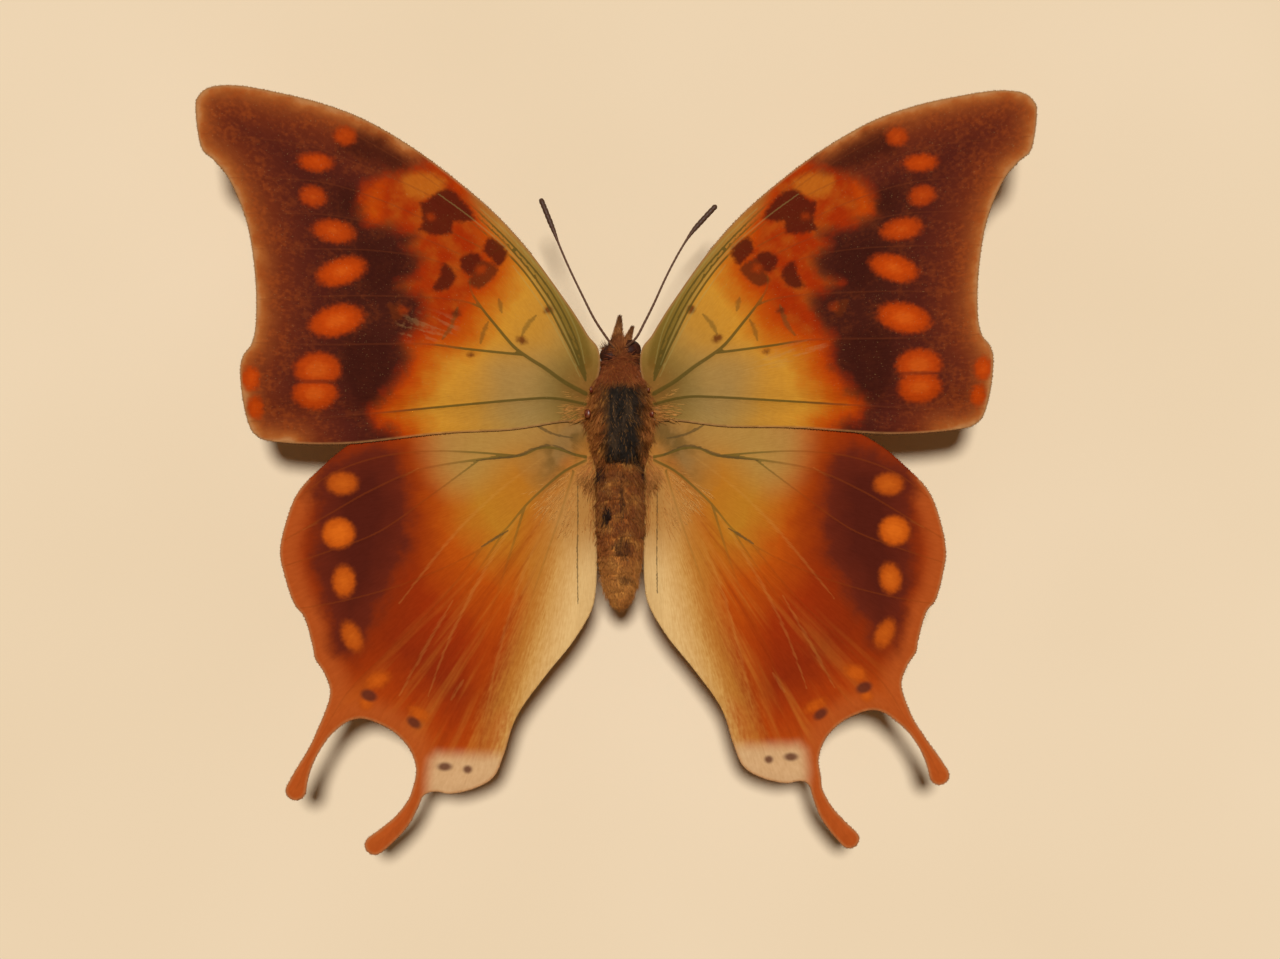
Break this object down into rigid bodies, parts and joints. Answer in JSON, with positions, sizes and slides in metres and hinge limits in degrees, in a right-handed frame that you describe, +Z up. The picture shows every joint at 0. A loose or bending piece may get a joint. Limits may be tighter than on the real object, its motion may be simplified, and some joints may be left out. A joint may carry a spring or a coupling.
{
  "type": "butterfly",
  "caption": "Life-size spread butterfly with hooked forewings and clubbed tails on its hindwings, held over a small round base by a rod so that it can stand as a display model.",
  "frame": {"origin": "centre of the underside of the round stand base, where it rests on a table", "axes": "+X to the insect's right, across the wings; +Y to its head; +Z up, out of its back"},
  "size_m": [0.0881, 0.0811, 0.0153],
  "materials": {
    "forewing_scales": "orange and dark brown wing scales, matt with a faint silky sheen",
    "hindwing_scales": "orange, red-brown and cream wing scales, matt with a faint silky sheen",
    "thorax_hair": "short dense brown hair",
    "abdomen_hair": "rusty scales and short hair",
    "eye": "dark glossy compound eye",
    "feeler": "dark brown horn, matt",
    "limb_scales": "tan and brown scaled limbs and palps",
    "base_paint": "matt warm grey paint",
    "rod_steel": "fine brushed steel"
  },
  "bodies": {
    "root": {"stand_base": "base_paint", "stand_rod": "rod_steel", "thorax": "thorax_hair", "abdomen": "abdomen_hair", "head": "thorax_hair", "proboscis": "feeler", "eye_l": "eye", "antenna_l": "feeler", "palp_l": "limb_scales", "foreleg_l": "limb_scales", "midleg_l": "limb_scales", "hindleg_l": "limb_scales", "forewing_l": "forewing_scales", "hindwing_l": "hindwing_scales", "eye_r": "eye", "antenna_r": "feeler", "palp_r": "limb_scales", "foreleg_r": "limb_scales", "midleg_r": "limb_scales", "hindleg_r": "limb_scales", "forewing_r": "forewing_scales", "hindwing_r": "hindwing_scales"}
  },
  "joints": []
}
